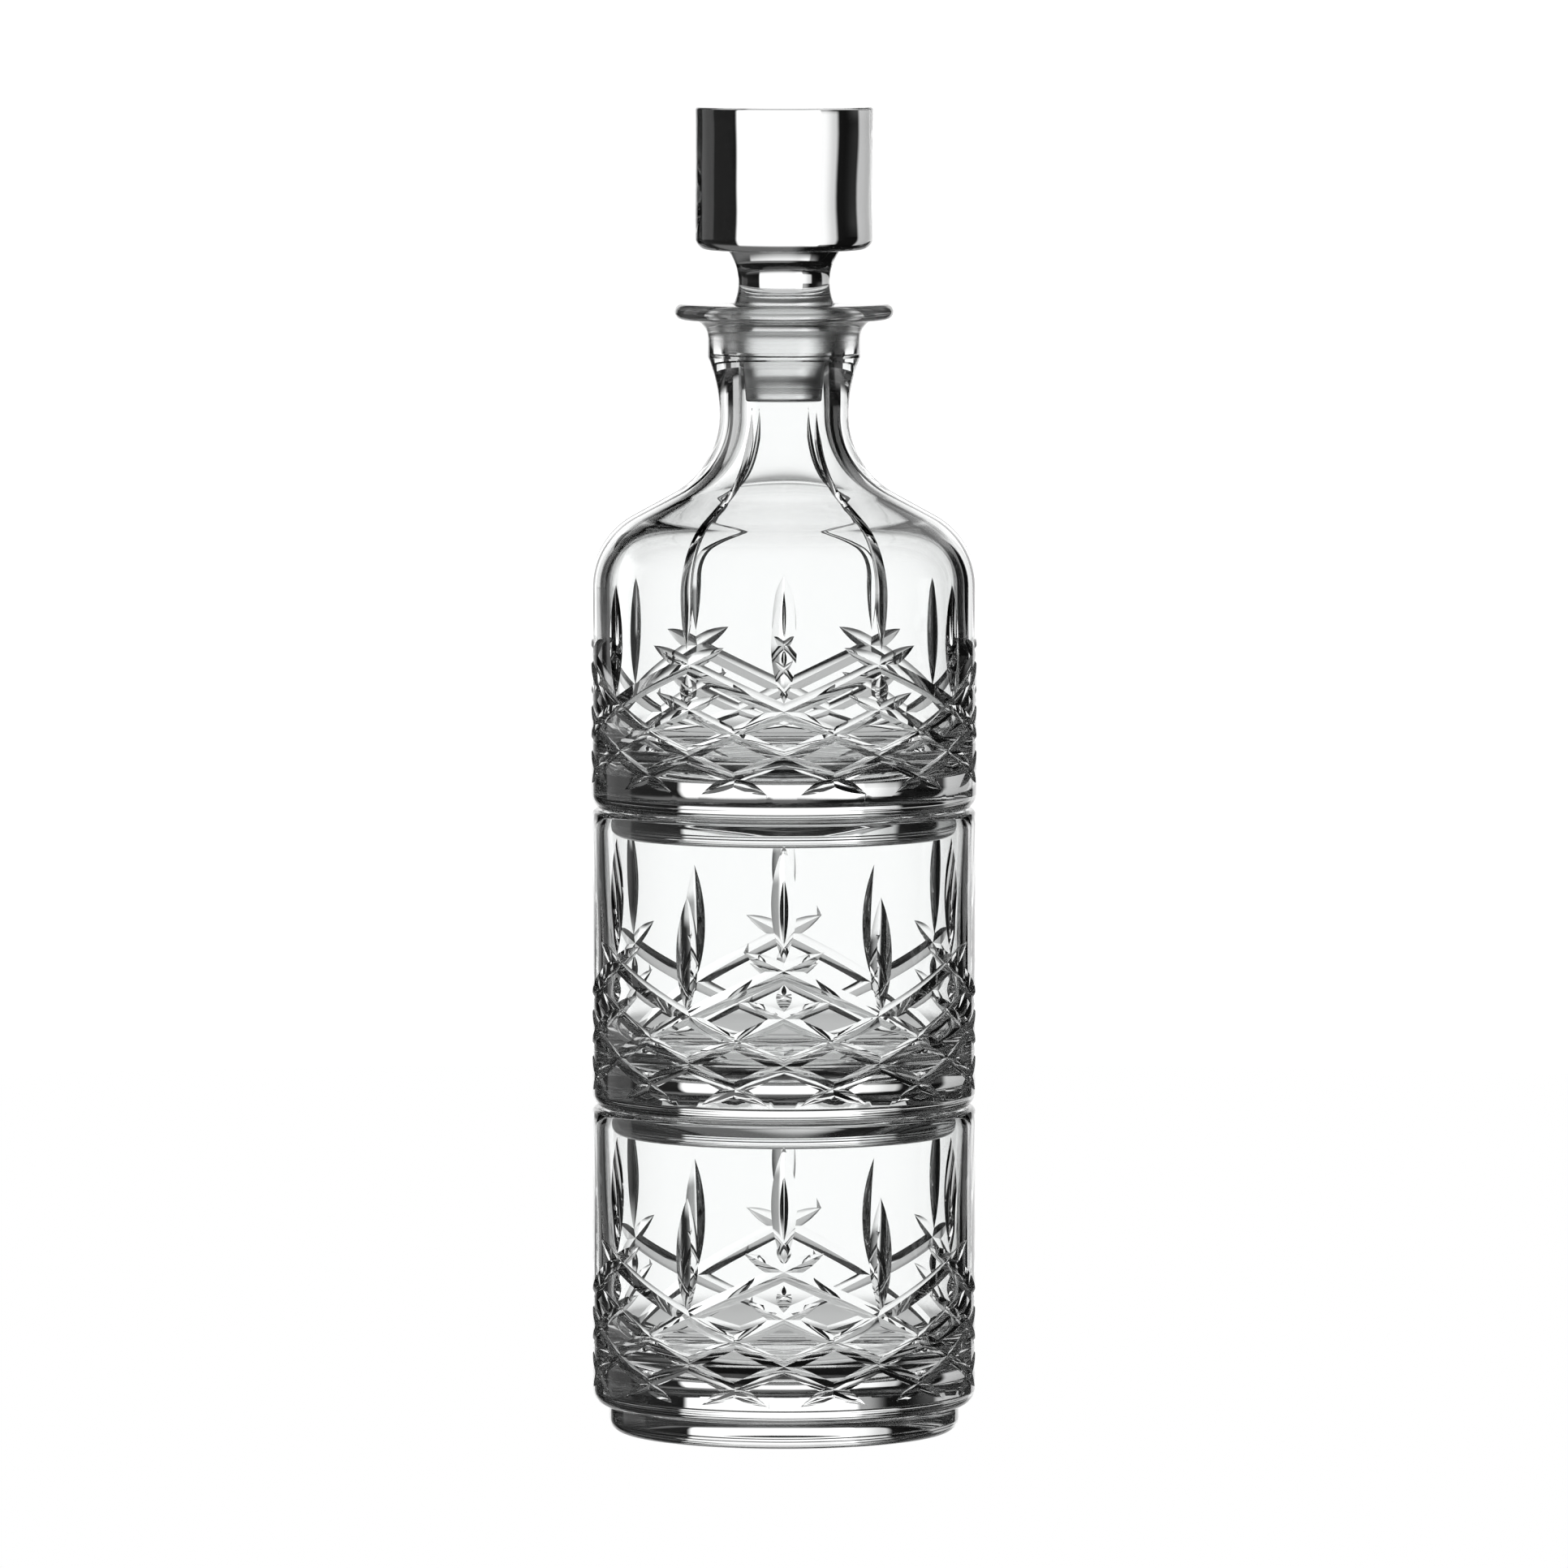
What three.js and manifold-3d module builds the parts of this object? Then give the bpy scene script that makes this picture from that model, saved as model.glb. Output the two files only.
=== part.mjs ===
// Stacking cut crystal set: a stoppered decanter that stands in two nesting tumblers.
// Millimetres, +Z up. The origin is the middle of the lower tumbler's foot, on the table.
import * as THREE from 'three';
import { mergeVertices } from 'three/addons/utils/BufferGeometryUtils.js';
import Module from 'manifold-3d';

const wasm = await Module();
wasm.setup();

// ---- driving dimensions -------------------------------------------------------------------

// tumbler
const tumblerRadius = 44.0;
const tumblerHeight = 74.8;
const rimWall = 2.4;
const rimRound = 1.0;
const tumblerFloorWall = 4.0; // side wall where it meets the floor
const tumblerFloorCorner = 6.0;

// foot and base, alike on all three vessels
const footHeight = 6.0;
const footCorner = 3.0;
const baseThickness = 14.0; // foot underside to the inside floor
const kickRadius = 33.0; // shallow hollow under the foot
const kickDepth = 1.2;

// decanter
const decanterSwell = 0.2; // its body is this much wider in radius than a tumbler
const shoulderStart = 57.45; // top of the straight body, above the decanter's own foot
const shoulderRise = 39.25; // from there to the neck's waist
const neckHeight = 25.5; // from the waist to the top of the lip
const decanterWall = 4.2;
const chamberFloorCorner = 8.0;
const shoulderRadius = 18.43;
const shoulderSlope = 28.8; // degrees below level, on the straight between shoulder and neck
const collarCurve = 34.0; // slow widening above the waist
const collarWidening = 2.7;
const lipOverhang = 7.6; // beyond the collar
const lipThickness = 3.6;
const lipFillet = 4.2;

// ground seat and stopper
const seatTopRadius = 11.9;
const seatTaper = 0.08; // radius lost per millimetre of depth
const seatLength = 11.5;
const seatStep = 0.4; // from the foot of the seat in to the bore
const mouthRound = 0.8;
const plugGroundLength = 11.0;
const plugTipNarrowing = 0.8;
const plugLength = 21.7;
const plugBevel = 0.7;
const headLift = 12.3; // lip to the underside of the head
const headRadius = 20.4;
const headHeight = 32.7;
const headCorner = 3.0;
const headBevel = 0.6;
const spoolCurve = 12.0;
const spoolWaist = 5.0; // above the lip

// clearances
const nestClearance = 1.35; // foot to the inside of the rim below it
const seatGap = 0.3; // between a vessel and the rim that carries it
const plugClearance = 0.3; // stopper to ground seat
const tipClearance = 1.1; // the plug's free end to the bore

// cuts
const repeats = 6; // the pattern turns by sixths
const lanceAngle = THREE.MathUtils.degToRad(66); // half angle of the flat cutting wheel
const mitreAngle = THREE.MathUtils.degToRad(58); // half angle of the mitre wheel
const lanceWidth = 6.2;
const smallLanceWidth = 3.7;
const mitreWidth = 3.3;
const mitreNeckWidth = 1.9;
const highLanceStart = 36.8; // starts are heights above the body's underside
const lowLanceStart = 24.8;
const smallLanceStart = 26.0;
const smallLanceLength = 6.1;
const highLanceMargin = 5.0; // from its top to the rim
const lowLanceMargin = 17.3;
const decanterLanceStart = 27.3;
const decanterSmallLanceStart = 26.4;
const decanterSmallLanceLength = 7.1;
const decanterLanceOverrun = 1.65; // past the start of the shoulder
const mitreStart = 39.1;
const mitreOverrun = 1.3; // past the neck's waist

const turnSteps = 36; // facets round a full turn

// ---- derived dimensions -------------------------------------------------------------------

const rimInnerRadius = tumblerRadius - rimWall;
const footRadius = rimInnerRadius - nestClearance;
const decanterRadius = tumblerRadius + decanterSwell;
const neckWaistHeight = shoulderStart + shoulderRise;
const decanterHeight = neckWaistHeight + neckHeight;
const seatBottomRadius = seatTopRadius - seatTaper * seatLength;
const boreRadius = seatBottomRadius - seatStep;
const neckRadius = boreRadius + decanterWall;
const collarRadius = neckRadius + collarWidening;
const lipRadius = collarRadius + lipOverhang;
const plugTopRadius = seatTopRadius - plugClearance;
const spoolRise = spoolCurve - Math.sqrt(spoolCurve ** 2 - spoolWaist ** 2);
const spoolRadius = plugTopRadius - spoolRise;

// A vessel settles where its rounded underside meets the rounded inner edge of the rim below.
function stackPitch(upperRadius) {
  const cornerRadius = upperRadius - footRadius;
  const across = rimInnerRadius + rimRound - footRadius;
  const reach = cornerRadius + rimRound + seatGap;
  const rise = Math.sqrt(reach ** 2 - across ** 2);
  return tumblerHeight - rimRound + rise - cornerRadius - footHeight;
}

const upperTumblerZ = stackPitch(tumblerRadius);
const decanterZ = upperTumblerZ + stackPitch(decanterRadius);
const stopperZ = decanterZ + decanterHeight;

// ---- outlines, as [radius, height] points -------------------------------------------------

// Points on an arc about a centre, angles in degrees, both ends included.
function arc(centreR, centreZ, radius, fromDegrees, toDegrees, steps) {
  const points = [];
  for (let i = 0; i <= steps; i += 1) {
    const angle = THREE.MathUtils.degToRad(THREE.MathUtils.lerp(fromDegrees, toDegrees, i / steps));
    points.push([centreR + radius * Math.cos(angle), centreZ + radius * Math.sin(angle)]);
  }
  return points;
}

// Underside, foot and the rounded start of the body.
function footOutline(bodyRadius) {
  const bodyCorner = bodyRadius - footRadius;
  return [
    [0, kickDepth],
    [kickRadius * 0.6, kickDepth * 0.7],
    [kickRadius, 0],
    ...arc(footRadius - footCorner, footCorner, footCorner, -90, 0, 3),
    ...arc(footRadius, footHeight + bodyCorner, bodyCorner, -90, 0, 3),
  ];
}

// Inside corner and floor, running inwards to the axis.
function floorOutline(wallRadius, corner) {
  return [
    ...arc(wallRadius - corner, baseThickness + corner, corner, 0, -90, 4),
    [0, baseThickness],
  ];
}

function tumblerOutline() {
  const rimBottom = tumblerHeight - rimRound;
  return [
    ...footOutline(tumblerRadius),
    ...arc(tumblerRadius - rimRound, rimBottom, rimRound, 0, 90, 2),
    ...arc(rimInnerRadius + rimRound, rimBottom, rimRound, 90, 180, 2),
    ...floorOutline(tumblerRadius - tumblerFloorWall, tumblerFloorCorner),
  ];
}

// Shoulder and neck: a convex arc and a concave arc joined by a straight that touches both. The
// concave arc's radius is whatever brings the line upright at the waist. inset moves the whole
// line inwards, which gives the inside wall.
function shoulderOutline(inset, steps) {
  const touch = 90 - shoulderSlope;
  const across = Math.cos(THREE.MathUtils.degToRad(touch));
  const up = Math.sin(THREE.MathUtils.degToRad(touch));
  const convexR = decanterRadius - shoulderRadius;
  const run = convexR + shoulderRadius * across - neckRadius;
  const rise = shoulderRise - shoulderRadius * up;
  const neckCurve = (rise * up - run * across) / (1 - across);
  const concaveR = neckRadius + neckCurve;
  return [
    ...arc(convexR, shoulderStart, shoulderRadius - inset, 0, touch, steps),
    ...arc(concaveR, neckWaistHeight, neckCurve + inset, touch + 180, 180, steps),
  ];
}

// Neck above its waist, collar and the rounded lip.
function collarOutline() {
  const sweep = THREE.MathUtils.radToDeg(Math.acos(1 - collarWidening / collarCurve));
  const lipMiddle = decanterHeight - lipThickness / 2;
  const filletZ = decanterHeight - lipThickness - lipFillet;
  return [
    ...arc(neckRadius + collarCurve, neckWaistHeight, collarCurve, 180, 180 - sweep, 3).slice(1),
    ...arc(collarRadius + lipFillet, filletZ, lipFillet, 180, 90, 3),
    ...arc(lipRadius - lipThickness / 2, lipMiddle, lipThickness / 2, -90, 90, 4),
  ];
}

// Ground seat, bore and chamber, running down from the mouth to the floor.
function chamberOutline() {
  const seatBottom = decanterHeight - seatLength;
  return [
    ...arc(seatTopRadius + mouthRound, decanterHeight - mouthRound, mouthRound, 90, 180, 2),
    [seatBottomRadius, seatBottom],
    [boreRadius, seatBottom - seatStep],
    ...shoulderOutline(decanterWall, 4).reverse(),
    ...floorOutline(decanterRadius - decanterWall, chamberFloorCorner),
  ];
}

function decanterOutline() {
  return [
    ...footOutline(decanterRadius),
    ...shoulderOutline(0, 6),
    ...collarOutline(),
    ...chamberOutline(),
  ];
}

// The stopper stands on the height of the decanter's lip.
function stopperOutline() {
  const headTop = headLift + headHeight;
  const groundBottomRadius = plugTopRadius - seatTaper * plugGroundLength;
  const tipTopRadius = boreRadius - tipClearance;
  const tipRadius = tipTopRadius - plugTipNarrowing;
  const spoolBottom = THREE.MathUtils.radToDeg(Math.asin(spoolWaist / spoolCurve));
  const spoolTop = THREE.MathUtils.radToDeg(Math.asin((headLift - spoolWaist) / spoolCurve));
  return [
    [0, -plugLength],
    [tipRadius - plugBevel, -plugLength],
    [tipRadius, plugBevel - plugLength],
    [tipTopRadius, -plugGroundLength],
    [groundBottomRadius, -plugGroundLength],
    ...arc(spoolRadius + spoolCurve, spoolWaist, spoolCurve, 180 + spoolBottom, 180 - spoolTop, 5),
    ...arc(headRadius - headCorner, headLift + headCorner, headCorner, -90, 0, 3),
    [headRadius, headTop - headBevel],
    [headRadius - headBevel, headTop],
    [0, headTop],
  ];
}

// ---- solids -------------------------------------------------------------------------------

// Leaves out triangles that have shrunk to a line, as they do where a lathe meets its axis.
function closedTriangles(index) {
  const kept = [];
  for (let i = 0; i < index.length; i += 3) {
    const [a, b, c] = [index[i], index[i + 1], index[i + 2]];
    if (a !== b && b !== c && c !== a) {
      kept.push(a, b, c);
    }
  }
  return kept;
}

function solidFrom(geometry) {
  geometry.deleteAttribute('normal');
  geometry.deleteAttribute('uv');
  const merged = mergeVertices(geometry, 1e-5);
  return new wasm.Manifold(new wasm.Mesh({
    numProp: 3,
    vertProperties: new Float32Array(merged.attributes.position.array),
    triVerts: new Uint32Array(closedTriangles(merged.index.array)),
  }));
}

function turned(outline) {
  const points = outline.map(([r, z]) => new THREE.Vector2(r, z));
  const geometry = new THREE.LatheGeometry(points, turnSteps);
  geometry.rotateX(Math.PI / 2);
  return solidFrom(geometry);
}

function geometryFrom(solid) {
  const mesh = solid.getMesh();
  const geometry = new THREE.BufferGeometry();
  geometry.setAttribute('position', new THREE.BufferAttribute(new Float32Array(mesh.vertProperties), 3));
  geometry.setIndex(new THREE.BufferAttribute(new Uint32Array(mesh.triVerts), 1));
  geometry.computeVertexNormals();
  return geometry;
}

// Radius of an outer outline at a height, between the points on either side of it.
function radiusAt(outline, height) {
  for (let i = 1; i < outline.length; i += 1) {
    const [r0, z0] = outline[i - 1];
    const [r1, z1] = outline[i];
    if (z0 <= height && height <= z1 && z1 > z0) {
      return THREE.MathUtils.lerp(r0, r1, (height - z0) / (z1 - z0));
    }
  }
  return outline[outline.length - 1][0];
}

// A point on the vessel's skin, with the skin's outward direction there.
function skinPoint(outline, azimuth, height) {
  const step = 0.5;
  const below = radiusAt(outline, height - step);
  const above = radiusAt(outline, height + step);
  const slope = Math.atan2(below - above, 2 * step);
  const radius = radiusAt(outline, height);
  const radial = new THREE.Vector3(Math.cos(azimuth), Math.sin(azimuth), 0);
  return {
    position: radial.clone().multiplyScalar(radius).setZ(height),
    outward: radial.clone().multiplyScalar(Math.cos(slope)).setZ(Math.sin(slope)),
  };
}

// The wheel's V-shaped path: a three-sided prism whose lower edge follows the stations, each
// with its depth below the skin. A negative depth lifts the edge clear, which points the end.
function grooveCutter(stations, halfAngle) {
  const lift = 0.8;
  const vertices = [];
  stations.forEach(({ position, outward, depth }, i) => {
    const before = stations[Math.max(i - 1, 0)].position;
    const after = stations[Math.min(i + 1, stations.length - 1)].position;
    const along = after.clone().sub(before).normalize();
    const aside = new THREE.Vector3().crossVectors(along, outward).normalize();
    const edge = position.clone().addScaledVector(outward, -depth);
    const top = position.clone().addScaledVector(outward, lift);
    const spread = (lift + depth) * Math.tan(halfAngle);
    const left = top.clone().addScaledVector(aside, spread);
    const right = top.clone().addScaledVector(aside, -spread);
    vertices.push(edge, left, right);
  });
  const index = [0, 1, 2];
  const last = (stations.length - 1) * 3;
  index.push(last, last + 2, last + 1);
  for (let base = 0; base < last; base += 3) {
    for (let side = 0; side < 3; side += 1) {
      const a = base + side;
      const b = base + ((side + 1) % 3);
      index.push(a, a + 3, b);
      index.push(b, a + 3, b + 3);
    }
  }
  const geometry = new THREE.BufferGeometry().setFromPoints(vertices);
  geometry.setIndex(index);
  return solidFrom(geometry);
}

// A leaf-shaped upright cut: deepest in the middle, running out to a point at each end. Its
// ends are heights above the body's underside.
function lanceCutter(outline, azimuth, from, to, width) {
  const steps = 6;
  const fullDepth = width / 2 / Math.tan(lanceAngle);
  const stations = [];
  for (let i = 0; i <= steps; i += 1) {
    const t = i / steps;
    const height = footHeight + THREE.MathUtils.lerp(from, to, t);
    const depth = fullDepth * (1 - 1.1 * (2 * t - 1) ** 2);
    stations.push({ ...skinPoint(outline, azimuth, height), depth });
  }
  return grooveCutter(stations, lanceAngle);
}

// The long groove that climbs from the body over the shoulder to the neck's waist: pointed at
// its foot, widest where the shoulder starts, then slender.
function risingCutter(outline, azimuth) {
  const steps = 14;
  const from = footHeight + mitreStart;
  const to = neckWaistHeight + mitreOverrun;
  const pointLength = 6;
  const stations = [];
  for (let i = 0; i <= steps; i += 1) {
    const height = THREE.MathUtils.lerp(from, to, i / steps);
    const opening = Math.min((height - from) / (shoulderStart - from), 1);
    const closing = Math.min((to - height) / (to - shoulderStart), 1);
    const grown = mitreWidth * (1 - (1 - opening) ** 2);
    const narrowed = THREE.MathUtils.lerp(mitreNeckWidth, mitreWidth, closing ** 2);
    const width = Math.min(grown, narrowed) * Math.min((to - height) / pointLength, 1);
    const atEnd = i === 0 || i === steps;
    const depth = atEnd ? -0.2 : width / 2 / Math.tan(mitreAngle);
    stations.push({ ...skinPoint(outline, azimuth, height), depth });
  }
  return grooveCutter(stations, mitreAngle);
}

// One cut made at every sixth of a turn, starting at an angle in degrees.
function cutAround(solid, startDegrees, makeCutter) {
  let result = solid;
  for (let i = 0; i < repeats; i += 1) {
    const azimuth = THREE.MathUtils.degToRad(startDegrees + (i * 360) / repeats);
    result = result.subtract(makeCutter(azimuth));
  }
  return result;
}

// Azimuths are measured from -Y, the front. The tumbler's pattern peaks at the front.
const front = -90;
const half = 180 / repeats;

function tumblerSolid() {
  const skin = [...footOutline(tumblerRadius), [tumblerRadius, tumblerHeight - rimRound]];
  const wallHeight = tumblerHeight - footHeight;
  const highTop = wallHeight - highLanceMargin;
  const lowTop = wallHeight - lowLanceMargin;
  const smallTop = smallLanceStart + smallLanceLength;
  let solid = turned(tumblerOutline());
  solid = cutAround(solid, front, (azimuth) => (
    lanceCutter(skin, azimuth, highLanceStart, highTop, lanceWidth)));
  solid = cutAround(solid, front, (azimuth) => (
    lanceCutter(skin, azimuth, smallLanceStart, smallTop, smallLanceWidth)));
  solid = cutAround(solid, front + half, (azimuth) => (
    lanceCutter(skin, azimuth, lowLanceStart, lowTop, lanceWidth)));
  return solid;
}

// The decanter's pattern is the tumbler's turned by half a repeat, valley to the front.
function decanterSolid() {
  const skin = [...footOutline(decanterRadius), ...shoulderOutline(0, 6), ...collarOutline()];
  const lanceTop = shoulderStart - footHeight + decanterLanceOverrun;
  const smallTop = decanterSmallLanceStart + decanterSmallLanceLength;
  let solid = turned(decanterOutline());
  solid = cutAround(solid, front, (azimuth) => (
    lanceCutter(skin, azimuth, decanterLanceStart, lanceTop, lanceWidth)));
  solid = cutAround(solid, front + half, (azimuth) => (
    lanceCutter(skin, azimuth, decanterSmallLanceStart, smallTop, smallLanceWidth)));
  solid = cutAround(solid, front + half, (azimuth) => risingCutter(skin, azimuth));
  return solid;
}

// ---- the set ------------------------------------------------------------------------------

function crystal(colour, roughness) {
  return new THREE.MeshStandardMaterial({ color: colour, roughness, metalness: 0 });
}

function piece(name, solid, material, height) {
  const mesh = new THREE.Mesh(geometryFrom(solid), material);
  mesh.name = name;
  mesh.position.z = height;
  return mesh;
}

const tumbler = tumblerSolid();
const set = new THREE.Group();
set.add(piece('lower_tumbler', tumbler, crystal(0xdfe6ea, 0.03), 0));
set.add(piece('upper_tumbler', tumbler, crystal(0xdfe6ea, 0.03), upperTumblerZ));
set.add(piece('decanter', decanterSolid(), crystal(0xe4eaed, 0.03), decanterZ));
set.add(piece('stopper', turned(stopperOutline()), crystal(0xeaeeef, 0.12), stopperZ));

export default set;
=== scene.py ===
# A stoppered cut crystal decanter standing in two nesting tumblers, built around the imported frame.
import math

import bpy
import numpy as np
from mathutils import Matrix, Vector


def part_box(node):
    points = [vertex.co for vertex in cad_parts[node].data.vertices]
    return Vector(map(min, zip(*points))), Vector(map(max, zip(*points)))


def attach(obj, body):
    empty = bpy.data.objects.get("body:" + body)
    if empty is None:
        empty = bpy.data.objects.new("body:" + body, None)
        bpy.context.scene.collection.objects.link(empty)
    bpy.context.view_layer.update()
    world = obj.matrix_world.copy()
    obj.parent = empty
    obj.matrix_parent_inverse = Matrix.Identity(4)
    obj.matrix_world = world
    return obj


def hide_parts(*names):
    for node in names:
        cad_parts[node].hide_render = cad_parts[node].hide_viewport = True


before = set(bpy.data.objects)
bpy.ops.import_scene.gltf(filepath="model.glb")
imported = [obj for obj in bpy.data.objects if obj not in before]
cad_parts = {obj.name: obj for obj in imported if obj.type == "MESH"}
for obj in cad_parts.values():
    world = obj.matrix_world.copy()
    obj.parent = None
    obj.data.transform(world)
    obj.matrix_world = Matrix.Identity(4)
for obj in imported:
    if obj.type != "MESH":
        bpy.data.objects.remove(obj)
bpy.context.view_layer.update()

mm = 0.001
columns = 240  # steps round a full turn
repeats = 6  # the cut pattern turns by sixths
halfRepeat = 180 / repeats  # degrees
sharpAngle = 15  # degrees between two faces that makes a cut edge
skinStep = 0.3 * mm  # how far up and down the slope of an outline is taken


foot = {
    "height": 6.0 * mm,
    "radius": 40.25 * mm,
    "corner": 3.0 * mm,
    "floorHeight": 14.0 * mm,  # the inside floor, above the foot's underside
    "kickRadius": 33.0 * mm,
    "kickDepth": 1.2 * mm,
}


def arcPoints(centreRadius, centreHeight, radius, start, end, count):
    # Points as (radius, height), from one angle in degrees to another.
    angles = np.radians(np.linspace(start, end, count + 1))
    return [(centreRadius + radius * math.cos(a), centreHeight + radius * math.sin(a)) for a in angles]


def joinRuns(*runs, spacing=3.0 * mm, samePoint=0.002 * mm):
    # One outline from several runs of points, with long straights divided and doubled points dropped.
    points = []
    for point in [p for run in runs for p in run]:
        if points:
            last = points[-1]
            length = math.dist(last, point)
            if length < samePoint:
                continue
            extra = int(length / spacing)
            for i in range(1, extra + 1):
                share = i / (extra + 1)
                points.append(tuple(a + (b - a) * share for a, b in zip(last, point)))
        points.append(point)
    return points


def footRun(bodyRadius):
    corner = bodyRadius - foot["radius"]
    kick = foot["kickRadius"]
    hollow = [(r, foot["kickDepth"] * (1 - (r / kick) ** 2)) for r in np.linspace(0, kick, 16)]
    return joinRuns(
        hollow,
        arcPoints(foot["radius"] - foot["corner"], foot["corner"], foot["corner"], -90, 0, 10),
        arcPoints(foot["radius"], foot["height"] + corner, corner, -90, 0, 12),
    )


def floorRun(wallRadius, corner):
    return joinRuns(
        arcPoints(wallRadius - corner, foot["floorHeight"] + corner, corner, 0, -90, 16),
        [(0, foot["floorHeight"])],
        spacing=2.5 * mm,
    )


def waveSum(angle, up, waves):
    # A wave is (turns round the piece, how much it slants, where it starts, size).
    return sum(size * np.sin(turns * angle + slant * up + start) for turns, slant, start, size in waves)


inside = {  # the blown inside wall is never quite true: long, low waves
    "waveRise": 11.0 * mm,
    "waves": ((3, 0.5, 0.7, 1.0), (5, -1.3, 0.0, 0.7), (8, 2.1, 1.9, 0.5), (0, 2.2, 0.4, 0.4)),
    "fadeRows": 10,  # rows down from the rim before the waves are full
    "fullRadius": 20.0 * mm,  # towards the axis they die away
}


def turnMesh(name, outer, inner=(), baseHeight=0.0, rippleAmount=0.0):
    # Turns an outline that starts on the axis underneath and ends on the axis above it. Only the
    # inside wall ripples.
    outline = joinRuns(list(outer), list(inner))
    innerStart = len(joinRuns(list(outer))) if inner else len(outline)
    ringRows = outline[1:-1]
    angles = np.arange(columns) * (2 * math.pi / columns)
    vertices = [(0.0, 0.0, outline[0][1] + baseHeight)]
    for row, (radius, height) in enumerate(ringRows, start=1):
        fade = min(max((row - innerStart) / inside["fadeRows"], 0), 1)
        fade *= min(radius / inside["fullRadius"], 1)
        waves = waveSum(angles, height / inside["waveRise"], inside["waves"])
        radii = radius + rippleAmount * fade * waves
        rise = np.full(columns, height + baseHeight)
        vertices.extend(np.stack([radii * np.cos(angles), radii * np.sin(angles), rise], 1).tolist())
    vertices.append((0.0, 0.0, outline[-1][1] + baseHeight))
    top = len(vertices) - 1
    faces = []
    for column in range(columns):
        following = (column + 1) % columns
        faces.append((0, 1 + following, 1 + column))
        for row in range(len(ringRows) - 1):
            low, high = 1 + row * columns, 1 + (row + 1) * columns
            faces.append((low + column, low + following, high + following, high + column))
        last = 1 + (len(ringRows) - 1) * columns
        faces.append((last + column, last + following, top))
    mesh = bpy.data.meshes.new(name)
    mesh.from_pydata(vertices, [], faces)
    piece = bpy.data.objects.new(name, mesh)
    bpy.context.scene.collection.objects.link(piece)
    return piece


wheels = {
    "lanceAngle": 62.0,  # half angle of the flat wheel that makes the leaf-shaped cuts
    "mitreAngle": 58.0,  # half angle of the wheel that makes the lattice and the long grooves
    "lanceFlat": 0.85,  # 1 is a straight sided V, less is a V with hollow, polished sides
    "mitreFlat": 0.75,
    "clear": 1.2 * mm,  # how far a cutter stands out of the skin
    "section": (-1.0, -0.7, -0.36, 0.0, 0.36, 0.7, 1.0),  # where the sides are divided
    "leafReach": 1.04,  # a leaf's path goes this far past its points, out of the glass
    "leafSteps": 29,
}


def skinAt(outline, height):
    # Radius of the outside at a height, and its outward direction as (radial, up).
    radii = np.array([p[0] for p in outline])
    heights = np.array([p[1] for p in outline])
    radius = float(np.interp(height, heights, radii))
    below = np.interp(height - skinStep, heights, radii)
    lean = float(below - np.interp(height + skinStep, heights, radii))
    length = math.hypot(2 * skinStep, lean)
    return radius, 2 * skinStep / length, lean / length


def grooveMesh(outline, path, halfAngle, flat):
    # path holds (azimuth in degrees from the front, height, depth); the cutter is a V along it.
    points, outwards, depths = [], [], []
    for azimuth, height, depth in path:
        radius, radial, up = skinAt(outline, height)
        across, towards = math.sin(math.radians(azimuth)), -math.cos(math.radians(azimuth))
        points.append((radius * across, radius * towards, height))
        outwards.append((radial * across, radial * towards, up))
        depths.append(depth)
    points, outwards = np.array(points), np.array(outwards)
    depths = np.array(depths)[:, None]
    along = np.gradient(points, axis=0)
    along /= np.linalg.norm(along, axis=1)[:, None]
    aside = np.cross(along, outwards)
    aside /= np.linalg.norm(aside, axis=1)[:, None]
    opening = math.tan(math.radians(halfAngle))
    clear = wheels["clear"]
    flare = depths * opening + clear * opening / (2 - flat)
    strips = [points + outwards * clear - aside * flare]
    for share in wheels["section"]:
        sunk = depths * (1 - flat * abs(share) - (1 - flat) * share ** 2)
        strips.append(points + aside * depths * opening * share - outwards * sunk)
    strips.append(points + outwards * clear + aside * flare)
    rings = np.stack(strips, 1)
    size, count = len(strips), len(points)
    faces = [tuple(range(size)), tuple(range(size * (count - 1), size * count))[::-1]]
    for base in range(0, size * (count - 1), size):
        for side in range(size):
            a, b = base + side, base + (side + 1) % size
            faces.append((a, a + size, b + size, b))
    return rings.reshape(-1, 3), faces


def cutAway(piece, grooves, baseHeight):
    # Grooves that don't touch each other go in one cutter.
    vertices, faces = [], []
    for points, corners in grooves:
        first = len(vertices)
        vertices.extend((points + np.array([0, 0, baseHeight])).tolist())
        faces.extend([tuple(c + first for c in corner) for corner in corners])
    mesh = bpy.data.meshes.new("cutter")
    mesh.from_pydata(vertices, [], faces)
    cutter = bpy.data.objects.new("cutter", mesh)
    bpy.context.scene.collection.objects.link(cutter)
    cut = piece.modifiers.new("cut", "BOOLEAN")
    cut.operation = "DIFFERENCE"
    cut.solver = "MANIFOLD"
    cut.object = cutter
    bpy.context.view_layer.update()
    evaluated = piece.evaluated_get(bpy.context.evaluated_depsgraph_get())
    made = bpy.data.meshes.new_from_object(evaluated)
    piece.modifiers.clear()
    uncut = piece.data
    piece.data = made
    bpy.data.meshes.remove(uncut)
    bpy.data.objects.remove(cutter)
    bpy.data.meshes.remove(mesh)
    made.name = piece.name


def leafPath(azimuth, low, high, width):
    # Deepest in the middle, running out to a point at both ends.
    depth = width / 2 / math.tan(math.radians(wheels["lanceAngle"]))
    shares = np.linspace(-wheels["leafReach"], wheels["leafReach"], wheels["leafSteps"])
    middle, reach = (low + high) / 2, (high - low) / 2
    return [(azimuth, middle + reach * t, depth * (1 - t * t)) for t in shares]


mitrePath = {  # degrees round the piece
    "step": 2.4,
    "past": 0.36,  # beyond each end, out of the glass
    "ease": 10.0,  # over which the width changes after a valley
}


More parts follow.
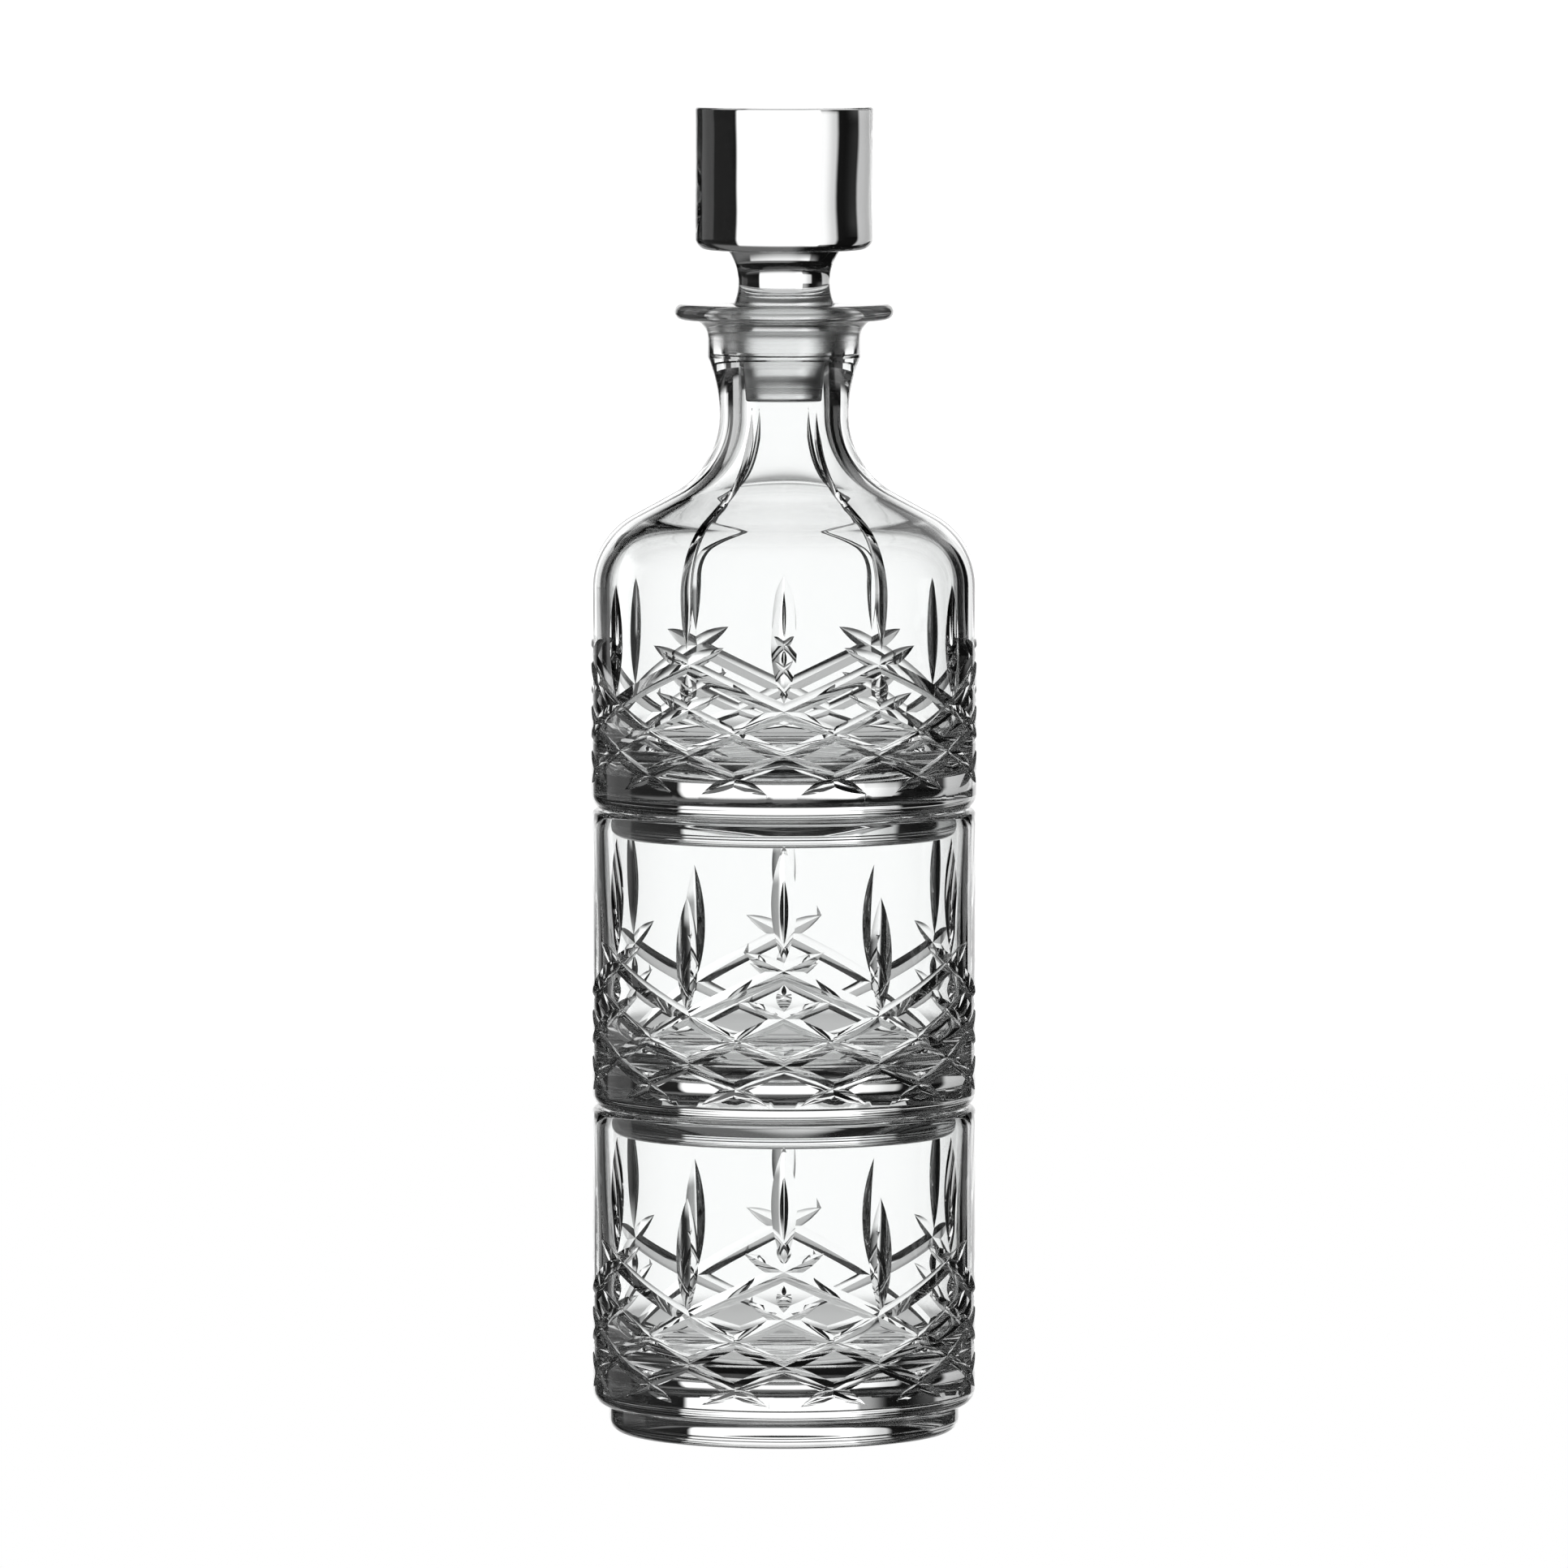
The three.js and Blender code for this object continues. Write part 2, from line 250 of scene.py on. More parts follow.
def latticePath(peakAzimuth, side, startHeight, start, end, widths, lattice):
    # A slanting groove. start and end are degrees from the peak, and side is which way it falls.
    runOut = lattice["runOut"]
    slope = lattice["rowHeight"] / lattice["halfStep"]
    step, past = mitrePath["step"], mitrePath["past"]
    turns = np.arange(start - past, end + past + step / 2, step)
    path = []
    for turn in turns:
        entering = min((turn - start) / runOut, 1)
        leaving = min((end - turn) / runOut, 1)
        ending = 1 - (1 - min(entering, leaving)) ** 2
        beyond = min(max((turn - lattice["valleyTurn"]) / mitrePath["ease"], 0), 1)
        width = widths[0] + (widths[1] - widths[0]) * beyond
        depth = width / 2 / math.tan(math.radians(wheels["mitreAngle"])) * ending
        path.append((peakAzimuth + side * turn, startHeight - slope * turn, depth))
    return path


def cutLattice(piece, outline, lattice, firstPeak, baseHeight):
    # From each peak one long groove makes the zigzag, and a short one starts two rows below it.
    longStart, longEnd = lattice["longTurns"]
    shortStart, shortEnd = lattice["shortTurns"]
    longHeight = foot["height"] + lattice["peak"]
    shortHeight = longHeight - 2 * lattice["rowHeight"]
    longWidths = lattice["zigzagWidth"], lattice["width"]
    shortWidths = lattice["width"], lattice["width"]
    for side in (1, -1):
        grooves = []
        for i in range(repeats):
            peak = firstPeak + i * 360 / repeats
            longPath = latticePath(peak, side, longHeight, longStart, longEnd, longWidths, lattice)
            shortPath = latticePath(peak, side, shortHeight, shortStart, shortEnd, shortWidths, lattice)
            for path in (longPath, shortPath):
                grooves.append(grooveMesh(outline, path, wheels["mitreAngle"], wheels["mitreFlat"]))
        cutAway(piece, grooves, baseHeight)


def cutLeaves(piece, outline, firstAzimuth, low, high, width, baseHeight):
    grooves = []
    for i in range(repeats):
        path = leafPath(firstAzimuth + i * 360 / repeats, foot["height"] + low, foot["height"] + high, width)
        grooves.append(grooveMesh(outline, path, wheels["lanceAngle"], wheels["lanceFlat"]))
    cutAway(piece, grooves, baseHeight)


skinReach = 0.02 * mm  # a corner this near the turned skin belongs to it
skinTilt = 6  # and so does a face that leans less than this many degrees from it


def trueNormals(piece, outline, baseHeight):
    # The turned skin keeps its own normals right up to the cut edges, so nothing ripples beside a cut.
    mesh = piece.data
    corners = len(mesh.loops)
    values = np.empty(corners * 3)
    mesh.corner_normals.foreach_get("vector", values)
    values = values.reshape(-1, 3)
    flat = np.empty(len(mesh.polygons) * 3)
    mesh.polygons.foreach_get("normal", flat)
    sizes = np.empty(len(mesh.polygons), dtype=int)
    mesh.polygons.foreach_get("loop_total", sizes)
    faceNormals = np.repeat(flat.reshape(-1, 3), sizes, axis=0)
    index = np.empty(corners, dtype=int)
    mesh.loops.foreach_get("vertex_index", index)
    places = np.empty(len(mesh.vertices) * 3)
    mesh.vertices.foreach_get("co", places)
    places = places.reshape(-1, 3)[index]
    heights = np.array([p[1] for p in outline])
    radii = np.array([p[0] for p in outline])
    height = places[:, 2] - baseHeight
    radius = np.hypot(places[:, 0], places[:, 1])
    lean = np.interp(height - skinStep, heights, radii) - np.interp(height + skinStep, heights, radii)
    length = np.hypot(2 * skinStep, lean)
    turned = places / radius.clip(mm)[:, None] * (2 * skinStep / length)[:, None]
    turned[:, 2] = lean / length
    onSkin = np.abs(radius - np.interp(height, heights, radii)) < skinReach
    onSkin &= (height > heights[0] + skinStep) & (height < heights[-1] - skinStep)
    onSkin &= (turned * faceNormals).sum(1) > math.cos(math.radians(skinTilt))
    values[onSkin] = turned[onSkin]
    mesh.normals_split_custom_set(values)


tumbler = {
    "rimWall": 2.4 * mm,
    "rimRound": 1.0 * mm,
    "floorWall": 4.0 * mm,
    "floorCorner": 13.0 * mm,
    "ripple": 0.02 * mm,
    "highLance": (36.8 * mm, 63.8 * mm),  # heights above the body's underside
    "lowLance": (24.8 * mm, 51.5 * mm),
    "smallLance": (26.0 * mm, 32.1 * mm),
    "lanceWidth": 6.2 * mm,
    "smallLanceWidth": 3.7 * mm,
}

tumblerLattice = {
    "peak": 35.0 * mm,
    "rowHeight": 5.4 * mm,
    "halfStep": 15.0,  # degrees between crossings of the two directions
    "valleyTurn": 30.0,
    "longTurns": (-12, 85.0),  # where the grooves start and end, in degrees from their peak
    "shortTurns": (-11, 55.0),
    "runOut": 9.0,
    "zigzagWidth": 3.7 * mm,
    "width": 3.1 * mm,
}


skins = []  # each cut piece with the outline of its turned skin


def makeTumbler(name):
    # The pattern peaks at the front and has its valleys half a repeat round from there.
    low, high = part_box(name)
    radius, height, base = high.x, high.z - low.z, low.z
    innerRim = radius - tumbler["rimWall"]
    rimRound = tumbler["rimRound"]
    outer = joinRuns(
        footRun(radius),
        arcPoints(radius - rimRound, height - rimRound, rimRound, 0, 90, 8),
    )
    inner = joinRuns(
        arcPoints(innerRim + rimRound, height - rimRound, rimRound, 90, 180, 8),
        floorRun(radius - tumbler["floorWall"], tumbler["floorCorner"]),
    )
    piece = turnMesh(name + "_crystal", outer, inner, base, tumbler["ripple"])
    skin = [p for p in outer if p[0] > foot["radius"] and p[1] > foot["height"]]
    cutLeaves(piece, skin, 0, *tumbler["highLance"], tumbler["lanceWidth"], base)
    cutLeaves(piece, skin, 0, *tumbler["smallLance"], tumbler["smallLanceWidth"], base)
    cutLeaves(piece, skin, halfRepeat, *tumbler["lowLance"], tumbler["lanceWidth"], base)
    cutLattice(piece, skin, tumblerLattice, 0, base)
    skins.append((piece, skin, base))
    print("made", piece.name, len(piece.data.polygons), "faces")
    return piece


lowerTumbler = makeTumbler("lower_tumbler")
upperTumbler = makeTumbler("upper_tumbler")


decanter = {
    "wall": 4.2 * mm,
    "floorCorner": 14.0 * mm,
    "shoulderStart": 57.45 * mm,  # heights above its own foot
    "shoulderRise": 39.25 * mm,
    "shoulderRadius": 18.43 * mm,
    "shoulderSlope": 28.8,
    "neckRadius": 14.8 * mm,
    "collarCurve": 34.0 * mm,
    "collarRadius": 17.5 * mm,
    "lipRadius": 25.1 * mm,
    "lipThickness": 3.6 * mm,
    "lipFillet": 4.2 * mm,
    "seatTopRadius": 11.9 * mm,
    "seatTaper": 0.08,
    "seatLength": 11.5 * mm,
    "groundLength": 9.0 * mm,
    "mouthRound": 0.8 * mm,
    "ripple": 0.02 * mm,
    "lance": (27.3 * mm, 53.1 * mm),
    "smallLance": (26.4 * mm, 33.5 * mm),
    "lanceWidth": 6.2 * mm,
    "smallLanceWidth": 3.7 * mm,
    "mitreStart": 39.1 * mm,
    "mitreOverrun": 1.3 * mm,
    "mitreWidth": 3.3 * mm,
    "mitreNeckWidth": 1.9 * mm,
    "mitrePoint": 7.0 * mm,  # length of the long groove's top point
    "mitrePast": 0.3 * mm,  # beyond each end, out of the glass
    "mitreSteps": 61,
}

decanterLattice = {
    "peak": 35.7 * mm,
    "rowHeight": 5.15 * mm,
    "halfStep": 15.0,
    "valleyTurn": 30.0,
    "longTurns": (-12, 85.0),  # where the grooves start and end, in degrees from their peak
    "shortTurns": (-11, 55.0),
    "runOut": 9.0,
    "zigzagWidth": 3.7 * mm,
    "width": 3.1 * mm,
}


def shoulderRun(bodyRadius, inset, count):
    # A convex arc and a concave one that touch the same slope. inset gives the inside wall.
    touch = 90 - decanter["shoulderSlope"]
    across, up = math.cos(math.radians(touch)), math.sin(math.radians(touch))
    rounded = decanter["shoulderRadius"]
    centre = bodyRadius - rounded
    run = centre + rounded * across - decanter["neckRadius"]
    rise = decanter["shoulderRise"] - rounded * up
    neckCurve = (rise * up - run * across) / (1 - across)
    waist = decanter["shoulderStart"] + decanter["shoulderRise"]
    return joinRuns(
        arcPoints(centre, decanter["shoulderStart"], rounded - inset, 0, touch, count),
        arcPoints(decanter["neckRadius"] + neckCurve, waist, neckCurve + inset, touch + 180, 180, count),
    )


def risingPath(azimuth, waist):
    # The long groove from the body over the shoulder to the neck, widest where the shoulder starts.
    start = foot["height"] + decanter["mitreStart"]
    shoulder, end = decanter["shoulderStart"], waist + decanter["mitreOverrun"]
    path = []
    past = decanter["mitrePast"]
    for height in np.linspace(start - past, end + past, decanter["mitreSteps"]):
        opening = min((height - start) / (shoulder - start), 1)
        closing = min((end - height) / (end - shoulder), 1)
        grown = decanter["mitreWidth"] * (1 - (1 - opening) ** 2)
        slender = decanter["mitreNeckWidth"]
        narrowed = slender + (decanter["mitreWidth"] - slender) * max(closing, 0) ** 2
        width = min(grown, narrowed) * min((end - height) / decanter["mitrePoint"], 1)
        path.append((azimuth, height, width / 2 / math.tan(math.radians(wheels["mitreAngle"]))))
    return path


def makeDecanter():
    # The tumblers' pattern turned by half a repeat, valley to the front.
    low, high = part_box("decanter")
    radius, height, base = high.x, high.z - low.z, low.z
    waist = decanter["shoulderStart"] + decanter["shoulderRise"]
    widening = decanter["collarRadius"] - decanter["neckRadius"]
    sweep = math.degrees(math.acos(1 - widening / decanter["collarCurve"]))
    lipHalf = decanter["lipThickness"] / 2
    filletHeight = height - decanter["lipThickness"] - decanter["lipFillet"]
    skin = joinRuns(
        footRun(radius),
        shoulderRun(radius, 0, 36),
        arcPoints(decanter["neckRadius"] + decanter["collarCurve"], waist, decanter["collarCurve"],
                  180, 180 - sweep, 12),
    )
    outer = joinRuns(
        skin,
        arcPoints(decanter["collarRadius"] + decanter["lipFillet"], filletHeight, decanter["lipFillet"],
                  180, 90, 12),
        arcPoints(decanter["lipRadius"] - lipHalf, height - lipHalf, lipHalf, -90, 90, 20),
    )
    seatBottom = height - decanter["seatLength"]
    seatBottomRadius = decanter["seatTopRadius"] - decanter["seatTaper"] * decanter["seatLength"]
    boreRadius = decanter["neckRadius"] - decanter["wall"]
    mouth = decanter["mouthRound"]
    inner = joinRuns(
        arcPoints(decanter["seatTopRadius"] + mouth, height - mouth, mouth, 90, 180, 8),
        [(decanter["seatTopRadius"] - decanter["seatTaper"] * decanter["groundLength"],
          height - decanter["groundLength"])],
        [(seatBottomRadius, seatBottom), (boreRadius, seatBottom - (seatBottomRadius - boreRadius))],
        shoulderRun(radius, decanter["wall"], 30)[::-1],
        floorRun(radius - decanter["wall"], decanter["floorCorner"]),
    )
    piece = turnMesh("decanter_crystal", outer, inner, base, decanter["ripple"])
    skin = [p for p in skin if p[1] > foot["height"]]
    cutLeaves(piece, skin, 0, *decanter["lance"], decanter["lanceWidth"], base)
    cutLeaves(piece, skin, halfRepeat, *decanter["smallLance"], decanter["smallLanceWidth"], base)
    rising = []
    for i in range(repeats):
        path = risingPath(halfRepeat + i * 360 / repeats, waist)
        rising.append(grooveMesh(skin, path, wheels["mitreAngle"], wheels["mitreFlat"]))
    cutAway(piece, rising, base)
    cutLattice(piece, skin, decanterLattice, halfRepeat, base)
    skins.append((piece, skin, base))
    print("made", piece.name, len(piece.data.polygons), "faces")
    return piece


decanterPiece = makeDecanter()


stopper = {
    "plugClearance": 0.3 * mm,
    "groundLength": 11.0 * mm,
    "tipTop": 9.5 * mm,
    "tipBottom": 8.7 * mm,
    "plugLength": 21.7 * mm,
    "bevel": 0.7 * mm,
    "headLift": 12.3 * mm,
    "headRadius": 20.4 * mm,
    "headCorner": 3.0 * mm,
    "headBevel": 0.6 * mm,
    "waver": 0.03 * mm,
    "waverWaves": ((7, 2.3, 0.4, 1.0), (11, -3.1, 1.1, 0.8), (19, 3.1, 0.9708, 0.225),
                   (19, 7.5, 2.1708, -0.225)),
    "waverFades": (6, 12),  # how fast it grows from the lower corner and dies at the top
    "sideShare": 0.9,  # of the head's radius; what is nearer the axis isn't its side
    "spoolCurve": 12.0 * mm,
    "spoolWaist": 5.0 * mm,
}


def waverHead(piece, low, high):
    # The head is finished by hand, so its side wavers a little and drags the light with it.
    mesh = piece.data
    places = np.empty(len(mesh.vertices) * 3)
    mesh.vertices.foreach_get("co", places)
    places = places.reshape(-1, 3)
    angle = np.arctan2(places[:, 1], places[:, 0])
    up = (places[:, 2] - low) / (high - low)
    crest = sum(abs(wave[3]) for wave in stopper["waverWaves"])  # so that it only ever goes inwards
    sunk = stopper["waver"] * (crest + waveSum(angle, up, stopper["waverWaves"]))
    grow, die = stopper["waverFades"]
    sunk *= np.clip(up * grow, 0, 1) * np.clip((1 - up) * die, 0, 1)
    sunk *= np.hypot(places[:, 0], places[:, 1]) > stopper["sideShare"] * stopper["headRadius"]
    places[:, :2] *= (1 - sunk / stopper["headRadius"])[:, None]
    mesh.vertices.foreach_set("co", places.ravel())


def makeStopper():
    low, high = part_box("stopper")
    lip = low.z + stopper["plugLength"]
    headTop = high.z - lip
    plugTop = decanter["seatTopRadius"] - stopper["plugClearance"]
    groundBottom = plugTop - decanter["seatTaper"] * stopper["groundLength"]
    curve, waist = stopper["spoolCurve"], stopper["spoolWaist"]
    spoolRadius = plugTop - (curve - math.sqrt(curve ** 2 - waist ** 2))
    spoolLow = math.degrees(math.asin(waist / curve))
    spoolHigh = math.degrees(math.asin((stopper["headLift"] - waist) / curve))
    head, corner, bevel = stopper["headRadius"], stopper["headCorner"], stopper["headBevel"]
    tip = stopper["bevel"]
    outer = joinRuns(
        [(0, -stopper["plugLength"]), (stopper["tipBottom"] - tip, -stopper["plugLength"])],
        arcPoints(stopper["tipBottom"] - tip, tip - stopper["plugLength"], tip, -90, 0, 6),
        [(stopper["tipTop"], -stopper["groundLength"]), (groundBottom, -stopper["groundLength"])],
        arcPoints(spoolRadius + curve, waist, curve, 180 + spoolLow, 180 - spoolHigh, 24),
        arcPoints(head - corner, stopper["headLift"] + corner, corner, -90, 0, 14),
        arcPoints(head - bevel, headTop - bevel, bevel, 0, 90, 6),
        [(0, headTop)],
    )
    piece = turnMesh("stopper_crystal", outer, (), lip)
    waverHead(piece, lip + stopper["headLift"] + corner, high.z - bevel)
    print("made", piece.name, len(piece.data.polygons), "faces")
    return piece


stopperPiece = makeStopper()


filmPattern = {
    "patchDetail": 3.0,
    "patchStart": 0.48,  # patches show where their noise is above this
    "patchEdge": 4.0,  # how crisp their edges are
    "smearScale": 400.0,
    "smearDetail": 2.0,
}

groundPattern = {
    "grainDetail": 2.0,
    "grainShare": 0.5,  # height of the grain beside that of the rings
    "leastRoughness": 0.7,
    "ringRoughness": 0.6,  # what the rings add to it
}

crystalLook = {
    "tint": (0.982, 0.990, 0.988, 1.0),
    "ior": 1.54,
    "filmSize": 55.0,  # handling film: how fine its patches are, per metre
    "filmRoughness": 0.012,
    "groundRoughness": 0.28,  # the ground seat in the neck
    "grain": 5200.0,
    "rings": 900.0,
    "groundRelief": 0.05 * mm,
}

stopperLook = {
    "tint": (0.985, 0.990, 0.990, 1.0),
    "ior": 1.54,
    "filmSize": 80.0,
    "filmRoughness": 0.008,
    "groundRoughness": 0.24,  # the ground plug
    "grain": 4600.0,
    "rings": 700.0,
    "groundRelief": 0.06 * mm,
}


def addSocket(group, name, way, kind="NodeSocketFloat", value=None):
    socket = group.interface.new_socket(name=name, in_out=way, socket_type=kind)
    if value is not None:
        socket.default_value = value


def nodeIn(tree, kind, **values):
    node = tree.nodes.new(kind)
    for name, value in values.items():
        setattr(node, name, value)
    return node


def mathNode(tree, operation, *values):
    node = nodeIn(tree, "ShaderNodeMath", operation=operation)
    for socket, value in zip(node.inputs, values):
        if isinstance(value, (int, float)):
            socket.default_value = value
        else:
            tree.links.new(value, socket)
    return node.outputs[0]


def noiseNode(tree, vector, scale, detail):
    node = nodeIn(tree, "ShaderNodeTexNoise")
    tree.links.new(vector, node.inputs["Vector"])
    node.inputs["Detail"].default_value = detail
    if isinstance(scale, (int, float)):
        node.inputs["Scale"].default_value = scale
    else:
        tree.links.new(scale, node.inputs["Scale"])
    return node.outputs["Fac"]


def handlingFilmGroup():
    # The faint film that polished glass picks up in the hand: patches that are a shade less clear.
    group = bpy.data.node_groups.new("handlingFilm", "ShaderNodeTree")
    addSocket(group, "Vector", "INPUT", "NodeSocketVector")
    addSocket(group, "Size", "INPUT", value=60.0)
    addSocket(group, "Amount", "INPUT", value=0.01)
    addSocket(group, "Roughness", "OUTPUT")
    given, made = group.nodes.new("NodeGroupInput"), group.nodes.new("NodeGroupOutput")
    look, vector = filmPattern, given.outputs["Vector"]
    patches = noiseNode(group, vector, given.outputs["Size"], look["patchDetail"])
    smears = noiseNode(group, vector, look["smearScale"], look["smearDetail"])
    shown = mathNode(group, "SUBTRACT", patches, look["patchStart"])
    shown = mathNode(group, "MULTIPLY", shown, look["patchEdge"])
    shown = mathNode(group, "MINIMUM", mathNode(group, "MAXIMUM", shown, 0.0), 1.0)
    rough = mathNode(group, "MULTIPLY", mathNode(group, "MULTIPLY", shown, smears), given.outputs["Amount"])
    group.links.new(rough, made.inputs["Roughness"])
    return group


def groundGlassGroup():
    # Glass ground true with a wet abrasive: a fine even grain crossed by rings from the spindle.
    group = bpy.data.node_groups.new("groundGlass", "ShaderNodeTree")
    addSocket(group, "Vector", "INPUT", "NodeSocketVector")
    addSocket(group, "Ground", "INPUT")
    addSocket(group, "Grain", "INPUT", value=5000.0)
    addSocket(group, "Rings", "INPUT", value=800.0)
    addSocket(group, "Roughness", "INPUT", value=0.35)
    addSocket(group, "Roughness", "OUTPUT")
    addSocket(group, "Height", "OUTPUT")
    given, made = group.nodes.new("NodeGroupInput"), group.nodes.new("NodeGroupOutput")
    look = groundPattern
    grain = noiseNode(group, given.outputs["Vector"], given.outputs["Grain"], look["grainDetail"])
    parts = nodeIn(group, "ShaderNodeSeparateXYZ")
    group.links.new(given.outputs["Vector"], parts.inputs[0])
    rings = nodeIn(group, "ShaderNodeTexNoise", noise_dimensions="1D")
    group.links.new(parts.outputs["Z"], rings.inputs["W"])
    group.links.new(given.outputs["Rings"], rings.inputs["Scale"])
    grain = mathNode(group, "MULTIPLY", grain, look["grainShare"])
    mixed = mathNode(group, "ADD", grain, rings.outputs["Fac"])
    height = mathNode(group, "MULTIPLY", mixed, given.outputs["Ground"])
    varied = mathNode(group, "MULTIPLY", rings.outputs["Fac"], look["ringRoughness"])
    varied = mathNode(group, "ADD", look["leastRoughness"], varied)
    rough = mathNode(group, "MULTIPLY", given.outputs["Roughness"], varied)
    rough = mathNode(group, "MULTIPLY", rough, given.outputs["Ground"])
    group.links.new(rough, made.inputs["Roughness"])
    group.links.new(height, made.inputs["Height"])
    return group


handlingFilm = handlingFilmGroup()
groundGlass = groundGlassGroup()


def placeGroup(tree, group, **values):
    node = nodeIn(tree, "ShaderNodeGroup", node_tree=group)
    for name, value in values.items():
        node.inputs[name].default_value = value
    return node


def crystalMaterial(name, look):
    material = bpy.data.materials.new(name)
    material.use_nodes = True
    tree = material.node_tree
    shader = tree.nodes["Principled BSDF"]
    shader.inputs["Base Color"].default_value = look["tint"]
    shader.inputs["IOR"].default_value = look["ior"]
    shader.inputs["Transmission Weight"].default_value = 1.0
    place = tree.nodes.new("ShaderNodeTexCoord")
    ground = nodeIn(tree, "ShaderNodeAttribute", attribute_name="ground")
    film = placeGroup(tree, handlingFilm, Size=look["filmSize"], Amount=look["filmRoughness"])
    seat = placeGroup(tree, groundGlass, Grain=look["grain"], Rings=look["rings"],
                      Roughness=look["groundRoughness"])
    for node in (film, seat):
        tree.links.new(place.outputs["Object"], node.inputs["Vector"])
    tree.links.new(ground.outputs["Fac"], seat.inputs["Ground"])
    rough = mathNode(tree, "ADD", film.outputs["Roughness"], seat.outputs["Roughness"])
    tree.links.new(rough, shader.inputs["Roughness"])
    bump = tree.nodes.new("ShaderNodeBump")
    bump.inputs["Distance"].default_value = look["groundRelief"]
    tree.links.new(seat.outputs["Height"], bump.inputs["Height"])
    tree.links.new(bump.outputs["Normal"], shader.inputs["Normal"])
    return material


def markGround(piece, low, high, widest):
    # 1 on the ground band between two heights, nearer the axis than widest, and 0 elsewhere.
    mesh = piece.data
    places = np.empty(len(mesh.vertices) * 3)
    mesh.vertices.foreach_get("co", places)
    places = places.reshape(-1, 3)
    inBand = (places[:, 2] > low - skinReach) & (places[:, 2] < high + skinReach)
    inBand &= np.hypot(places[:, 0], places[:, 1]) < widest
    band = mesh.attributes.new("ground", "FLOAT", "POINT")
    band.data.foreach_set("value", inBand.astype(np.float32))


cutCrystal = crystalMaterial("cutCrystal", crystalLook)
stopperCrystal = crystalMaterial("stopperCrystal", stopperLook)
for piece in (lowerTumbler, upperTumbler, decanterPiece, stopperPiece):
    piece.data.materials.clear()
    piece.data.materials.append(stopperCrystal if piece is stopperPiece else cutCrystal)
    piece.data.polygons.foreach_set("use_smooth", [True] * len(piece.data.polygons))
    piece.data.set_sharp_from_angle(angle=math.radians(sharpAngle))

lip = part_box("decanter")[1].z
markGround(stopperPiece, lip - stopper["plugLength"], lip, stopper["headRadius"])
seatTop = lip - decanter["mouthRound"]
markGround(decanterPiece, lip - decanter["groundLength"], seatTop, decanter["neckRadius"])
for piece, outline, base in skins:
    trueNormals(piece, outline, base)
print("crystal finishes on")

for piece, node, slot in (
    (lowerTumbler, "lower_tumbler", "cut_crystal"),
    (upperTumbler, "upper_tumbler", "cut_crystal"),
    (decanterPiece, "decanter", "cut_crystal"),
    (stopperPiece, "stopper", "stopper_crystal"),
):
    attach(piece, node)
    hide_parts(node)


studio = {
    "floorRadius": 0.9,
    "floorCorners": 128,
    "floorDrop": 0.05 * mm,  # keeps the floor clear of the foot
    "distance": 3.0,
    "elevation": 4.15,
    "target": (0.0, 0.0, 0.1490),
    "lens": 300.0,
    "sensor": 36.0,
    "clipEnd": 20.0,
    "bounces": 32,
    "reflections": 16,
    "room": 0.004,  # brightness where there is no panel
    # Lit panels round the object: middle azimuth, half width, side fade, lowest and highest elevation,
    # end fade, brightness. Azimuth 0 is straight behind and grows to the right.
    "cards": [
        (3.5, 19.5, 2, -9, 12, 9, 1.18),
        (-17, 2, 7, -9, 12, 9, 0.40),
        (-22, 4, 3, -2.6, 12, 2, 0.70),
        (-1, 20, 5, -34, -17, 8, 0.55),
        (-61, 12, 4, -5, 20, 5, 0.60),
        (-90, 20, 9, -6, 22, 8, 0.12),
        (-82, 38, 12, -50, -8, 10, 0.08),
        (20, 22, 10, 22, 60, 10, 0.15),
        (135, 34, 12, -10, 14, 8, 0.05),
        (180, 40, 15, -22, 12, 8, 0.03),
        (180, 40, 15, -90, -42, 12, 0.06),
        (-5, 20, 10, -60, -26, 10, 0.06),
    ],
    # Panels of the same kind that only show through the glass and leave no reflection on it: the pale
    # table under the set, and the light behind it when it is seen from the back or the left.
    "glowCards": [
        (0, 180, 1, -90, -48, 14, 0.65),
        (-62, 34, 12, -45, -18, 7, 0.75),
        (62, 30, 12, -45, -24, 7, 0.60),
        (-92, 18, 6, -8, 14, 6, 0.60),
        (128, 27, 5, -40, 14, 8, 0.85),
        (180, 13, 8, -40, 14, 8, 0.85),
        (-135, 20, 8, -40, 14, 8, 0.85),
    ],
}


def windowMask(tree, value, low, high, soft):
    # 1 between low and high, falling softly to 0 outside.
    masks = []
    for fromMin, fromMax, toMin, toMax in ((low - soft, low, 0, 1), (high, high + soft, 1, 0)):
        step = tree.nodes.new("ShaderNodeMapRange")
        step.interpolation_type = "SMOOTHSTEP"
        tree.links.new(value, step.inputs["Value"])
        step.inputs["From Min"].default_value = fromMin
        step.inputs["From Max"].default_value = fromMax
        step.inputs["To Min"].default_value = toMin
        step.inputs["To Max"].default_value = toMax
        masks.append(step.outputs["Result"])
    return mathNode(tree, "MULTIPLY", *masks)


def panelMask(tree, azimuth, elevation, middle, half, sideFade, low, high, endFade):
    # Azimuth is measured from the panel's own middle, the short way round.
    aside = mathNode(tree, "SUBTRACT", azimuth, middle)
    aside = mathNode(tree, "ABSOLUTE", mathNode(tree, "WRAP", aside, 180.0, -180.0))
    across = windowMask(tree, aside, -180.0, half, sideFade)
    up = windowMask(tree, elevation, low, high, endFade)
    return mathNode(tree, "MULTIPLY", across, up)


